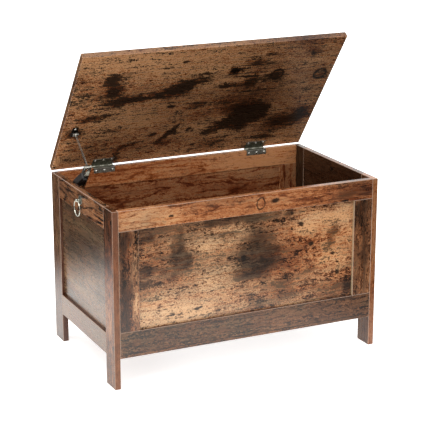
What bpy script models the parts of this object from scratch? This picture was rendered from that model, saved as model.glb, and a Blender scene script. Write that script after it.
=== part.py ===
"""Rustic storage chest: framed board sides, a hinged lid held by a folding stay, and a ring pull at each end.

Metres, +Z up, +X along the front from left to right, the front facing -Y. The chest stands on Z = 0.
The lid is modelled closed and turned open about its hinge axis, which is how the chest is shown.
"""
import math

import bmesh
import bpy
from mathutils import Matrix, Vector

# Whole chest
CHEST_WIDTH = 0.760
CHEST_DEPTH = 0.440
CHEST_HEIGHT = 0.470
LID_OPEN_DEG = 53.0

# Boards and the gap between pieces that touch
BOARD = 0.016
EDGE_ROUND = 0.0008
FIT_GAP = 0.0003
CUT_OVERRUN = 0.004
MERGE_DISTANCE = 0.00005

# Side frames
SIDE_STILE_WIDTH = 0.058
SIDE_TOP_RAIL_HEIGHT = 0.058
SIDE_BOTTOM_RAIL_HEIGHT = 0.056
SIDE_FOOT_HEIGHT = 0.080

# Front and back frames, which stand between the side frames
FRONT_STILE_WIDTH = 0.054
FRONT_TOP_RAIL_HEIGHT = 0.053
FRONT_BOTTOM_RAIL_HEIGHT = 0.069
FRONT_FOOT_HEIGHT = 0.082

# Thin infill panels, held in grooves
INFILL_THICKNESS = 0.005
INFILL_RECESS = 0.008
GROOVE_DEPTH = 0.006

# Bottom board and lid
BOTTOM_BOARD_THICKNESS = 0.012
BOTTOM_BOARD_HEIGHT = 0.085
LID_THICKNESS = 0.016

# Wrap-over hinges
HINGE_WIDTH = 0.062
HINGE_CENTRE_INSET = 0.147
LEAF_THICKNESS = 0.0009
FLANGE_DROP = 0.0145
LEAF_END_MARGIN = 0.0025
HINGE_RISE = 0.0006
KNUCKLE_RADIUS = 0.0016
KNUCKLE_BACK_CLEARANCE = 0.0003
KNUCKLES = 5
HINGE_PIN_RADIUS = 0.0008
HINGE_PIN_HEAD_RADIUS = 0.0013
HINGE_PIN_HEAD_HEIGHT = 0.0008
LID_SCREW_CLEARANCE = 0.0006
FLANGE_SCREW_DROP = 0.0082
HINGE_SCREW_SPACING = 0.024

# Wood screws
SCREW_HEAD_RADIUS = 0.0032
SCREW_HEAD_HEIGHT = 0.0013
SCREW_SHANK_RADIUS = 0.0014
SCREW_LENGTH = 0.0125
SCREW_TIP_LENGTH = 0.003

# Folding lid stay, a parallelogram: lid, lower arm, upper arm and the chest's side
STAY_LID_PIN_REACH = 0.156
STAY_LID_PIN_DROP = 0.009
STAY_BASE_FORWARD = 0.084
STAY_BASE_DROP = 0.070
STAY_SHEET = 0.002
STAY_FAR_LIMB_INSET = 0.026
STAY_CLEVIS_INNER_WIDTH = 0.012
STAY_LOWER_ARM_WIDTH = 0.014
STAY_CLEVIS_LENGTH = 0.028
STAY_UPPER_ARM_WIDTH = 0.0065
STAY_UPPER_ARM_THICKNESS = 0.003
STAY_BOSS_RADIUS = 0.0048
STAY_PIN_RADIUS = 0.0024
STAY_RIVET_RADIUS = 0.0043
STAY_RIVET_HEIGHT = 0.0014
STAY_RIVET_CROWN_SHARE = 0.7
STAY_RIVET_EDGE_SHARE = 0.5
STAY_POST_RADIUS = 0.0055
STAY_BASE_PLATE_WIDTH = 0.026
STAY_BASE_PLATE_TOP_DROP = 0.012
STAY_BASE_PLATE_END = 0.013
STAY_BASE_SCREW_MARGIN = 0.011
STAY_BASE_SCREW_SPACING = 0.024
STAY_PLATE_CORNER = 0.005

# Black damper housing on the lower arm
HOUSING_LENGTH = 0.056
HOUSING_WIDTH = 0.018
HOUSING_SIDE_INSET = 0.005
HOUSING_CENTRE_ALONG = 0.091
HOUSING_CENTRE_ACROSS = 0.007
HOUSING_TILT_DEG = -19.0
HOUSING_TONGUE_LENGTH = 0.018
HOUSING_ROUND = 0.0012

# Bracket of the stay on the lid
LID_BRACKET_LENGTH = 0.036
LID_BRACKET_WIDTH = 0.017
LID_BRACKET_SHEET = 0.0015
LID_BRACKET_EAR_RADIUS = 0.0055
LID_BRACKET_EAR_GAP = 0.009
LID_BRACKET_SCREW_SPACING = 0.024

# Ring pulls
HANDLE_DROP = 0.024
HANDLE_ROSE_RADIUS = 0.0125
HANDLE_ROSE_THICKNESS = 0.0022
HANDLE_ROSE_RIM = 0.0009
HANDLE_ROSE_SHOULDER_SHARES = (0.8, 0.7)
HANDLE_NECK_RADIUS = 0.0028
HANDLE_BEAD_RADIUS = 0.0032
HANDLE_EYE_RADIUS = 0.0042
HANDLE_EYE_STANDOFF = 0.0095
HANDLE_TAIL_RADIUS = 0.0020
HANDLE_NUT_RADIUS = 0.0050
HANDLE_NUT_HEIGHT = 0.0032
NUT_BORE_CLEARANCE = 0.0007
RING_RADIUS = 0.0205
RING_WIRE_RADIUS = 0.0015
RING_EYE_CLEARANCE = 0.0007

# Counts and the facets of round pieces
PIN_FACETS = 20
SCREW_FACETS = 12
KNUCKLE_FACETS = 24
ROSE_FACETS = 32
RING_FACETS = 36
RING_WIRE_FACETS = 8
NUT_FACETS = 6
ARC_STEPS = 8
SMOOTH_BELOW_DEG = 40.0

# Places worked out from the sizes above. The chest's front face and hinge axis:
HINGE_BACK = KNUCKLE_RADIUS + KNUCKLE_BACK_CLEARANCE
LID_TOP_RISE = HINGE_RISE + LID_THICKNESS
OPEN = math.radians(LID_OPEN_DEG)
LID_REACH_BACK = HINGE_BACK + LID_TOP_RISE * math.sin(OPEN) - (HINGE_BACK + EDGE_ROUND) * math.cos(OPEN)
FRONT_Y = -(CHEST_DEPTH + LID_REACH_BACK) / 2
BACK_Y = FRONT_Y + CHEST_DEPTH
HINGE_AXIS = Vector((0, BACK_Y + HINGE_BACK, CHEST_HEIGHT + HINGE_RISE))
INNER_X = CHEST_WIDTH / 2 - BOARD
STAY_WALL_X = -INNER_X

WOOD_BROWN = (0.235, 0.118, 0.055, 1.0)
WOOD_TAN = (0.330, 0.175, 0.082, 1.0)
WOOD_DARK = (0.150, 0.075, 0.040, 1.0)
STEEL_GREY = (0.420, 0.420, 0.390, 1.0)
HOUSING_BLACK = (0.012, 0.011, 0.011, 1.0)


def clear_scene():
    for obj in list(bpy.data.objects):
        bpy.data.objects.remove(obj, do_unlink=True)


def make_collection(name):
    collection = bpy.data.collections.new(name)
    bpy.context.scene.collection.children.link(collection)
    return collection


def make_material(name, colour, roughness, metallic):
    material = bpy.data.materials.new(name)
    material.use_nodes = True
    shader = material.node_tree.nodes["Principled BSDF"]
    shader.inputs["Base Color"].default_value = colour
    shader.inputs["Roughness"].default_value = roughness
    shader.inputs["Metallic"].default_value = metallic
    return material


clear_scene()
CHEST = make_collection("storage_chest")
CUTTERS = make_collection("cutters")
CUTTERS.hide_render = True

FRAME_WOOD = make_material("frame_wood_print", WOOD_BROWN, 0.45, 0.0)
PANEL_WOOD = make_material("panel_wood_print", WOOD_TAN, 0.45, 0.0)
INSIDE_WOOD = make_material("inside_wood_print", WOOD_DARK, 0.50, 0.0)
ZINC = make_material("zinc_plated_steel", STEEL_GREY, 0.35, 1.0)
BLACK = make_material("black_plastic", HOUSING_BLACK, 0.50, 0.0)


def put_in(collection, obj, material=None, parent=None):
    collection.objects.link(obj)
    obj.parent = parent
    if material:
        obj.data.materials.clear()
        obj.data.materials.append(material)
    if collection is CUTTERS:
        obj.hide_render = True
        obj.display_type = "WIRE"
    return obj


def box_mesh(name, low, high):
    """A box between two corners, its mesh about its own middle."""
    size = Vector(high) - Vector(low)
    mesh = bpy.data.meshes.new(name)
    shape = bmesh.new()
    bmesh.ops.create_cube(shape, size=1)
    bmesh.ops.scale(shape, vec=size, verts=shape.verts)
    shape.to_mesh(mesh)
    shape.free()
    return mesh


def box(name, low, high, collection=CHEST, material=None, parent=None, rounded=0):
    obj = bpy.data.objects.new(name, box_mesh(name, low, high))
    obj.location = (Vector(low) + Vector(high)) / 2
    put_in(collection, obj, material, parent)
    if rounded:
        bevel = obj.modifiers.new("rounded edges", "BEVEL")
        bevel.width = rounded
        bevel.segments = 1
    return obj


def rod(name, radius, start, end, facets, collection=CUTTERS, parent=None):
    """A round bar between two points."""
    start = Vector(start)
    end = Vector(end)
    along = end - start
    mesh = bpy.data.meshes.new(name)
    shape = bmesh.new()
    bmesh.ops.create_cone(shape, cap_ends=True, segments=facets, radius1=radius, radius2=radius,
                          depth=along.length)
    shape.to_mesh(mesh)
    shape.free()
    obj = bpy.data.objects.new(name, mesh)
    obj.rotation_euler = along.to_track_quat("Z", "Y").to_euler()
    obj.location = (start + end) / 2
    return put_in(collection, obj, None, parent)


def combine(obj, other, operation):
    modifier = obj.modifiers.new(f"{operation.lower()} {other.name}", "BOOLEAN")
    modifier.operation = operation
    modifier.solver = "EXACT"
    modifier.object = other


def cut(obj, cutter):
    combine(obj, cutter, "DIFFERENCE")


def join(obj, other):
    combine(obj, other, "UNION")


def finished_mesh(obj, helpers=()):
    """The object's mesh where it stands, with its modifiers applied. It and its helpers are then removed."""
    bpy.context.view_layer.update()
    graph = bpy.context.evaluated_depsgraph_get()
    mesh = bpy.data.meshes.new_from_object(obj.evaluated_get(graph))
    mesh.transform(obj.matrix_world)
    mesh.name = obj.name
    for used in (obj, *helpers):
        bpy.data.objects.remove(used, do_unlink=True)
    return mesh


def smooth(mesh):
    mesh.shade_smooth()
    mesh.set_sharp_from_angle(angle=math.radians(SMOOTH_BELOW_DEG))


def copy_of(mesh, name, location, rotation=(0, 0, 0), material=ZINC, parent=None):
    obj = bpy.data.objects.new(name, mesh)
    obj.location = location
    obj.rotation_euler = rotation
    return put_in(CHEST, obj, material, parent)


def turned_mesh(name, profile, facets):
    """A turned piece about its own Z axis. The profile is (radius, height) from its top down."""
    mesh = bpy.data.meshes.new(name)
    shape = bmesh.new()
    points = [shape.verts.new((radius, 0, height)) for radius, height in profile]
    for first, second in zip(points, points[1:]):
        shape.edges.new((first, second))
    shape.to_mesh(mesh)
    shape.free()
    obj = bpy.data.objects.new(name, mesh)
    put_in(CUTTERS, obj)
    screw = obj.modifiers.new("turned", "SCREW")
    screw.steps = facets
    screw.render_steps = facets
    screw.use_merge_vertices = True
    screw.merge_threshold = MERGE_DISTANCE
    turned = finished_mesh(obj)
    smooth(turned)
    return turned


def circle(radius, centre=(0, 0), steps=PIN_FACETS):
    """Points of a circle in the side view."""
    turns = [2 * math.pi * i / steps for i in range(steps)]
    return [(centre[0] + radius * math.cos(t), centre[1] + radius * math.sin(t)) for t in turns]


def stadium(length, width, start=0):
    """Points of a bar with round ends, from one hole centre to the other along the first axis."""
    half = width / 2
    ends = []
    for middle, first in ((start + length, -math.pi / 2), (start, math.pi / 2)):
        for i in range(ARC_STEPS + 1):
            turn = first + math.pi * i / ARC_STEPS
            ends.append((middle + half * math.cos(turn), half * math.sin(turn)))
    return ends


def rounded_rectangle(length, width, corner):
    """Points of a rectangle with round corners, about its middle."""
    points = []
    for sign_x, sign_y, first in ((1, 1, 0), (-1, 1, 1), (-1, -1, 2), (1, -1, 3)):
        middle_x = sign_x * (length / 2 - corner)
        middle_y = sign_y * (width / 2 - corner)
        for i in range(ARC_STEPS // 2 + 1):
            turn = math.pi / 2 * (first + 2 * i / ARC_STEPS)
            points.append((middle_x + corner * math.cos(turn), middle_y + corner * math.sin(turn)))
    return points


# Sheet pieces are drawn in a side view: forward is -Y, up is +Z, and their thickness runs along X.
SIDE_VIEW = Matrix(((0, 0, -1, 0), (-1, 0, 0, 0), (0, 1, 0, 0), (0, 0, 0, 1)))


def sheet(name, outlines, thickness, turn=SIDE_VIEW, collection=CUTTERS, parent=None):
    """A flat piece from its outline, and the outlines of its holes, centred on its own thickness."""
    curve = bpy.data.curves.new(name, "CURVE")
    curve.dimensions = "2D"
    curve.fill_mode = "BOTH"
    curve.extrude = thickness / 2
    for outline in outlines:
        spline = curve.splines.new("POLY")
        spline.points.add(len(outline) - 1)
        for point, (along, across) in zip(spline.points, outline):
            point.co = (along, across, 0, 1)
        spline.use_cyclic_u = True
    drawn = put_in(CUTTERS, bpy.data.objects.new(name + " outline", curve))
    mesh = finished_mesh(drawn)
    welded = bmesh.new()
    welded.from_mesh(mesh)
    bmesh.ops.remove_doubles(welded, verts=welded.verts, dist=MERGE_DISTANCE)
    bmesh.ops.recalc_face_normals(welded, faces=welded.faces)
    welded.to_mesh(mesh)
    welded.free()
    mesh.transform(turn)
    mesh.name = name
    return put_in(collection, bpy.data.objects.new(name, mesh), None, parent)


def side(forward, up):
    """A place in the side view, as a vector in the chest's frame."""
    return Vector((0, -forward, up))


# Carcass: two side frames of stiles and rails, with the front and back frames between them
def outline_x(sign, inset_low, inset_high):
    """Low and high X of a piece of the left (-1) or right (+1) side, by its depth in from the outer face."""
    ends = (sign * (CHEST_WIDTH / 2 - inset_low), sign * (CHEST_WIDTH / 2 - inset_high))
    return min(ends), max(ends)


def side_frame(side_name, sign):
    low_x, high_x = outline_x(sign, 0, BOARD)
    rail_front = FRONT_Y + SIDE_STILE_WIDTH + FIT_GAP
    rail_back = BACK_Y - SIDE_STILE_WIDTH - FIT_GAP
    foot_top = SIDE_FOOT_HEIGHT + SIDE_BOTTOM_RAIL_HEIGHT
    top_low = CHEST_HEIGHT - SIDE_TOP_RAIL_HEIGHT
    stile_front = box(f"{side_name}_front_stile", (low_x, FRONT_Y, 0),
                      (high_x, FRONT_Y + SIDE_STILE_WIDTH, CHEST_HEIGHT), CHEST, FRAME_WOOD, None, EDGE_ROUND)
    stile_back = box(f"{side_name}_back_stile", (low_x, BACK_Y - SIDE_STILE_WIDTH, 0),
                     (high_x, BACK_Y, CHEST_HEIGHT), CHEST, FRAME_WOOD, None, EDGE_ROUND)
    top_rail = box(f"{side_name}_top_rail", (low_x, rail_front, top_low),
                   (high_x, rail_back, CHEST_HEIGHT), CHEST, FRAME_WOOD, None, EDGE_ROUND)
    bottom_rail = box(f"{side_name}_bottom_rail", (low_x, rail_front, SIDE_FOOT_HEIGHT),
                      (high_x, rail_back, foot_top), CHEST, FRAME_WOOD, None, EDGE_ROUND)
    panel_low_x, panel_high_x = outline_x(sign, INFILL_RECESS, INFILL_RECESS + INFILL_THICKNESS)
    low = Vector((panel_low_x, rail_front - FIT_GAP - GROOVE_DEPTH, foot_top - GROOVE_DEPTH))
    high = Vector((panel_high_x, rail_back + FIT_GAP + GROOVE_DEPTH, top_low + GROOVE_DEPTH))
    gap = Vector((FIT_GAP, FIT_GAP, FIT_GAP))
    groove = box(f"{side_name} infill groove", low - gap, high + gap, CUTTERS)
    for member in (stile_front, stile_back, top_rail, bottom_rail):
        cut(member, groove)
    box(f"{side_name}_infill_panel", low, high, CHEST, PANEL_WOOD)
    return top_rail


def face_frame(face_name, outer_y, inward):
    """The front frame (inward +1) or the back frame (inward -1)."""
    def depths(near, far):
        ends = (outer_y + inward * near, outer_y + inward * far)
        return min(ends), max(ends)

    low_y, high_y = depths(0, BOARD)
    end_x = INNER_X - FIT_GAP
    stile_x = end_x - FRONT_STILE_WIDTH
    foot_top = FRONT_FOOT_HEIGHT + FRONT_BOTTOM_RAIL_HEIGHT
    top_low = CHEST_HEIGHT - FRONT_TOP_RAIL_HEIGHT
    top_rail = box(f"{face_name}_top_rail", (-end_x, low_y, top_low), (end_x, high_y, CHEST_HEIGHT),
                   CHEST, FRAME_WOOD, None, EDGE_ROUND)
    bottom_rail = box(f"{face_name}_bottom_rail", (-end_x, low_y, FRONT_FOOT_HEIGHT),
                      (end_x, high_y, foot_top), CHEST, FRAME_WOOD, None, EDGE_ROUND)
    members = [top_rail, bottom_rail]
    for stile_name, low_x, high_x in (("left", -end_x, -stile_x), ("right", stile_x, end_x)):
        members.append(box(f"{face_name}_{stile_name}_stile", (low_x, low_y, foot_top + FIT_GAP),
                           (high_x, high_y, top_low - FIT_GAP), CHEST, FRAME_WOOD, None, EDGE_ROUND))
    panel_low_y, panel_high_y = depths(INFILL_RECESS, INFILL_RECESS + INFILL_THICKNESS)
    low = Vector((-stile_x - GROOVE_DEPTH, panel_low_y, foot_top - GROOVE_DEPTH))
    high = Vector((stile_x + GROOVE_DEPTH, panel_high_y, top_low + GROOVE_DEPTH))
    gap = Vector((FIT_GAP, FIT_GAP, FIT_GAP))
    groove = box(f"{face_name} infill groove", low - gap, high + gap, CUTTERS)
    for member in members:
        cut(member, groove)
    box(f"{face_name}_infill_panel", low, high, CHEST, PANEL_WOOD)
    return top_rail


left_top_rail = side_frame("left", -1)
right_top_rail = side_frame("right", 1)
front_top_rail = face_frame("front", FRONT_Y, 1)
back_top_rail = face_frame("back", BACK_Y, -1)
box("bottom_board", (-INNER_X + FIT_GAP, FRONT_Y + BOARD + FIT_GAP, BOTTOM_BOARD_HEIGHT),
    (INNER_X - FIT_GAP, BACK_Y - BOARD - FIT_GAP, BOTTOM_BOARD_HEIGHT + BOTTOM_BOARD_THICKNESS),
    CHEST, INSIDE_WOOD, None, EDGE_ROUND)

# The lid and all that turns with it hang on an empty on the hinge axis
lid_pivot = bpy.data.objects.new("lid_pivot", None)
lid_pivot.location = HINGE_AXIS
lid_pivot.rotation_euler = (-OPEN, 0, 0)
CHEST.objects.link(lid_pivot)

lid = box("lid", (-CHEST_WIDTH / 2, -HINGE_BACK - CHEST_DEPTH, HINGE_RISE),
          (CHEST_WIDTH / 2, -HINGE_BACK, HINGE_RISE + LID_THICKNESS),
          CHEST, FRAME_WOOD, lid_pivot, EDGE_ROUND)


# Wood screws: a low round head on a plain shank, seated in a pilot hole
def screw_profile():
    dome = []
    for i in range(ARC_STEPS // 2 + 1):
        turn = math.pi / 2 * 2 * i / ARC_STEPS
        dome.append((SCREW_HEAD_RADIUS * math.sin(turn), SCREW_HEAD_HEIGHT * math.cos(turn)))
    tip_start = SCREW_TIP_LENGTH - SCREW_LENGTH
    return dome + [(SCREW_SHANK_RADIUS, 0), (SCREW_SHANK_RADIUS, tip_start), (0, -SCREW_LENGTH)]


SCREW_MESH = turned_mesh("wood_screw", screw_profile(), SCREW_FACETS)


def wood_screw(name, seat, outward, board, parent=None):
    """A screw whose head's underside is at the seat, pointing out, and its pilot hole in the board."""
    outward = Vector(outward)
    rotation = outward.to_track_quat("Z", "Y").to_euler()
    copy_of(SCREW_MESH, name, seat, rotation, ZINC, parent)
    deep = Vector(seat) - outward * (SCREW_LENGTH + FIT_GAP)
    mouth = Vector(seat) + outward * CUT_OVERRUN
    cut(board, rod(f"{name} pilot", SCREW_SHANK_RADIUS + FIT_GAP, deep, mouth, SCREW_FACETS, CUTTERS, parent))


# Hinges: the body leaf is let into the back rim and wraps down inside, the lid leaf is let into the lid
def knuckle_span(index):
    pitch = HINGE_WIDTH / KNUCKLES
    return -HINGE_WIDTH / 2 + index * pitch, -HINGE_WIDTH / 2 + (index + 1) * pitch


def leaf_mesh(name, plates, keeps, screw_places, screw_axis):
    """A leaf from its plates, a barrel, notches for the other leaf's knuckles and clearance holes."""
    half = HINGE_WIDTH / 2
    leaf = box(name, *plates[0])
    helpers = []
    for low, high in plates[1:]:
        helpers.append(box(name + " flange", low, high, CUTTERS))
        join(leaf, helpers[-1])
    helpers.append(rod(name + " barrel", KNUCKLE_RADIUS, (-half, 0, 0), (half, 0, 0), KNUCKLE_FACETS))
    join(leaf, helpers[-1])
    reach = KNUCKLE_RADIUS + KNUCKLE_BACK_CLEARANCE
    for index in range(KNUCKLES):
        if index % 2 == keeps:
            continue
        low_x, high_x = knuckle_span(index)
        low_x = low_x - (CUT_OVERRUN if index == 0 else FIT_GAP / 2)
        high_x = high_x + (CUT_OVERRUN if index == KNUCKLES - 1 else FIT_GAP / 2)
        helpers.append(box(name + " notch", (low_x, -reach, -reach), (high_x, reach, reach), CUTTERS))
        cut(leaf, helpers[-1])
    overrun = Vector((CUT_OVERRUN, 0, 0))
    bore_end = Vector((half, 0, 0)) + overrun
    helpers.append(rod(name + " bore", HINGE_PIN_RADIUS + FIT_GAP, -bore_end, bore_end, KNUCKLE_FACETS))
    cut(leaf, helpers[-1])
    for place in screw_places:
        through = Vector(screw_axis) * CUT_OVERRUN
        helpers.append(rod(name + " hole", SCREW_SHANK_RADIUS + FIT_GAP, place - through, place + through,
                           SCREW_FACETS))
        cut(leaf, helpers[-1])
    mesh = finished_mesh(leaf, helpers)
    smooth(mesh)
    return mesh


half_hinge = HINGE_WIDTH / 2
rim_plate_top = -FIT_GAP / 2
flange_back = -HINGE_BACK - BOARD - FIT_GAP
flange_front = flange_back - LEAF_THICKNESS
rim_plate = ((-half_hinge, flange_front, rim_plate_top - LEAF_THICKNESS), (half_hinge, 0, rim_plate_top))
flange_low = -HINGE_RISE - FLANGE_DROP
flange_plate = ((-half_hinge, flange_front, flange_low), (half_hinge, flange_back, rim_plate_top))
flange_screw_z = -HINGE_RISE - FLANGE_SCREW_DROP
flange_screws = [Vector((i * HINGE_SCREW_SPACING, flange_front, flange_screw_z)) for i in (-1, 0, 1)]
BODY_LEAF_MESH = leaf_mesh("hinge_body_leaf", (rim_plate, flange_plate), 0, flange_screws, (0, 1, 0))

lid_plate_low = FIT_GAP / 2
lid_screw_y = flange_front - LID_SCREW_CLEARANCE - SCREW_HEAD_RADIUS
lid_leaf_end = lid_screw_y - SCREW_HEAD_RADIUS - LEAF_END_MARGIN
lid_plate = ((-half_hinge, lid_leaf_end, lid_plate_low), (half_hinge, 0, lid_plate_low + LEAF_THICKNESS))
lid_leaf_screws = [Vector((i * HINGE_SCREW_SPACING, lid_screw_y, lid_plate_low)) for i in (-1, 0, 1)]
LID_LEAF_MESH = leaf_mesh("hinge_lid_leaf", (lid_plate,), 1, lid_leaf_screws, (0, 0, 1))

pin_end = HINGE_WIDTH / 2 + FIT_GAP
pin_head_end = pin_end + HINGE_PIN_HEAD_HEIGHT
HINGE_PIN_MESH = turned_mesh("hinge_pin", (
    (0, pin_head_end), (HINGE_PIN_HEAD_RADIUS, pin_head_end), (HINGE_PIN_HEAD_RADIUS, pin_end),
    (HINGE_PIN_RADIUS, pin_end), (HINGE_PIN_RADIUS, -pin_end), (0, -pin_end),
), PIN_FACETS)


def hinge(side_name, sign):
    centre_x = sign * (CHEST_WIDTH / 2 - HINGE_CENTRE_INSET)
    along = Vector((centre_x, 0, 0))
    recess_half = half_hinge + FIT_GAP
    recess_floor = HINGE_AXIS.z + rim_plate_top - LEAF_THICKNESS - FIT_GAP
    cut(back_top_rail, box(f"{side_name} rim recess",
                           (centre_x - recess_half, BACK_Y - BOARD - CUT_OVERRUN, recess_floor),
                           (centre_x + recess_half, BACK_Y + CUT_OVERRUN, CHEST_HEIGHT + CUT_OVERRUN),
                           CUTTERS))
    cut(lid, box(f"{side_name} lid recess",
                 (centre_x - recess_half, lid_leaf_end - FIT_GAP, -CUT_OVERRUN),
                 (centre_x + recess_half, CUT_OVERRUN, lid_plate_low + LEAF_THICKNESS + FIT_GAP),
                 CUTTERS, None, lid_pivot))
    copy_of(BODY_LEAF_MESH, f"{side_name}_hinge_body_leaf", HINGE_AXIS + along)
    copy_of(LID_LEAF_MESH, f"{side_name}_hinge_lid_leaf", along, parent=lid_pivot)
    copy_of(HINGE_PIN_MESH, f"{side_name}_hinge_pin", HINGE_AXIS + along, (0, math.pi / 2, 0))
    for number, place in enumerate(flange_screws, 1):
        seat = HINGE_AXIS + along + place - Vector((0, FIT_GAP, 0))
        wood_screw(f"{side_name}_hinge_body_screw_{number}", seat, (0, -1, 0), back_top_rail)
    for number, place in enumerate(lid_leaf_screws, 1):
        seat = along + place - Vector((0, 0, FIT_GAP))
        wood_screw(f"{side_name}_hinge_lid_screw_{number}", seat, (0, 0, -1), lid, lid_pivot)


hinge("left", -1)
hinge("right", 1)

# Lid stay. Its four pivots make a parallelogram, so the lower arm turns with the lid.
lower_link = math.hypot(STAY_LID_PIN_REACH, STAY_LID_PIN_DROP)
upper_link = math.hypot(STAY_BASE_FORWARD, STAY_BASE_DROP)
lower_arm_angle = OPEN - math.atan2(STAY_LID_PIN_DROP, STAY_LID_PIN_REACH)
upper_arm_angle = math.pi - math.atan2(STAY_BASE_DROP, STAY_BASE_FORWARD)
base_pivot = HINGE_AXIS + side(STAY_BASE_FORWARD, -STAY_BASE_DROP)
elbow_forward = lower_link * math.cos(lower_arm_angle)
elbow_pivot = base_pivot + side(elbow_forward, lower_link * math.sin(lower_arm_angle))


def from_wall(inset):
    """X of a place that far in from the left side's inner face."""
    return STAY_WALL_X + inset


far_limb_x = from_wall(STAY_FAR_LIMB_INSET + STAY_SHEET / 2)
near_limb_inset = STAY_FAR_LIMB_INSET - STAY_CLEVIS_INNER_WIDTH - STAY_SHEET
near_limb_x = from_wall(near_limb_inset + STAY_SHEET / 2)
stay_middle_inset = STAY_FAR_LIMB_INSET - STAY_CLEVIS_INNER_WIDTH / 2
stay_middle_x = from_wall(stay_middle_inset)
PIN_HOLE = STAY_PIN_RADIUS + FIT_GAP


def stay_empty(name, pivot, angle):
    empty = bpy.data.objects.new(name, None)
    empty.location = pivot
    empty.rotation_euler = (-angle, 0, 0)
    CHEST.objects.link(empty)
    return empty


lower_pivot = stay_empty("stay_base_pivot", base_pivot, lower_arm_angle)
upper_pivot = stay_empty("stay_elbow_pivot", elbow_pivot, upper_arm_angle)


def rivet_mesh(name, reach):
    """A pin with a head at each end, reaching that far to each side under its heads."""
    head = reach + STAY_RIVET_HEIGHT
    edge = reach + STAY_RIVET_HEIGHT * STAY_RIVET_EDGE_SHARE
    crown = STAY_RIVET_RADIUS * STAY_RIVET_CROWN_SHARE
    upper = [(0, head), (crown, head), (STAY_RIVET_RADIUS, edge), (STAY_RIVET_RADIUS, reach),
             (STAY_PIN_RADIUS, reach)]
    lower = [(radius, -height) for radius, height in reversed(upper)]
    return turned_mesh(name, upper + lower, PIN_FACETS)


# Base plate on the left side, with a post that carries the lower arm
plate_top = -STAY_BASE_PLATE_TOP_DROP
plate_length = STAY_BASE_DROP + STAY_BASE_PLATE_END - HINGE_RISE - STAY_BASE_PLATE_TOP_DROP
plate_middle = CHEST_HEIGHT + plate_top - plate_length / 2
base_screw_drops = [STAY_BASE_SCREW_MARGIN + i * STAY_BASE_SCREW_SPACING for i in (0, 1)]
base_outlines = [rounded_rectangle(STAY_BASE_PLATE_WIDTH, plate_length, STAY_PLATE_CORNER)]
base_outlines.append(circle(PIN_HOLE, (0, base_pivot.z - plate_middle)))
for drop in base_screw_drops:
    base_outlines.append(circle(SCREW_SHANK_RADIUS + FIT_GAP, (0, plate_length / 2 - drop), SCREW_FACETS))
base_plate = sheet("stay_base_plate", base_outlines, STAY_SHEET, collection=CHEST)
base_plate.data.materials.append(ZINC)
base_plate.location = (from_wall(FIT_GAP + STAY_SHEET / 2), base_pivot.y, plate_middle)
smooth(base_plate.data)
for number, drop in enumerate(base_screw_drops, 1):
    seat = (from_wall(2 * FIT_GAP + STAY_SHEET), base_pivot.y, CHEST_HEIGHT + plate_top - drop)
    wood_screw(f"stay_base_screw_{number}", seat, (1, 0, 0), left_top_rail)

post_start = 2 * FIT_GAP + STAY_SHEET
post_shoulder = STAY_FAR_LIMB_INSET - FIT_GAP
post_top = STAY_FAR_LIMB_INSET + STAY_SHEET + FIT_GAP
BASE_POST_MESH = turned_mesh("stay_base_post", (
    (0, post_top + STAY_RIVET_HEIGHT), (STAY_RIVET_RADIUS, post_top + STAY_RIVET_HEIGHT),
    (STAY_RIVET_RADIUS, post_top), (STAY_PIN_RADIUS, post_top), (STAY_PIN_RADIUS, post_shoulder),
    (STAY_POST_RADIUS, post_shoulder), (STAY_POST_RADIUS, post_start), (STAY_PIN_RADIUS, post_start),
    (STAY_PIN_RADIUS, 2 * FIT_GAP), (0, 2 * FIT_GAP),
), PIN_FACETS)
copy_of(BASE_POST_MESH, "stay_base_post", (STAY_WALL_X, base_pivot.y, base_pivot.z), (0, math.pi / 2, 0))

# Lower arm: a strip whose upper end is folded into a fork for the upper arm
lower_arm = sheet("stay_lower_arm", [stadium(lower_link, STAY_LOWER_ARM_WIDTH), circle(PIN_HOLE),
                                     circle(PIN_HOLE, (lower_link, 0))], STAY_SHEET, collection=CHEST)
lower_arm.parent = lower_pivot
lower_arm.location = (far_limb_x, 0, 0)
lower_arm.data.materials.append(ZINC)
near_limb = sheet("stay near limb", [
    stadium(STAY_CLEVIS_LENGTH, STAY_LOWER_ARM_WIDTH, lower_link - STAY_CLEVIS_LENGTH),
    circle(PIN_HOLE, (lower_link, 0))], STAY_SHEET, parent=lower_pivot)
near_limb.location = (near_limb_x, 0, 0)
web_along = lower_link - STAY_CLEVIS_LENGTH
web_margin = STAY_SHEET / 4
web_half = STAY_LOWER_ARM_WIDTH / 2 - web_margin
web = box("stay fork web",
          (from_wall(near_limb_inset + web_margin), -web_along, -web_half),
          (from_wall(STAY_FAR_LIMB_INSET + STAY_SHEET - web_margin), -web_along + STAY_SHEET, web_half),
          CUTTERS, None, lower_pivot)
join(lower_arm, near_limb)
join(lower_arm, web)

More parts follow.
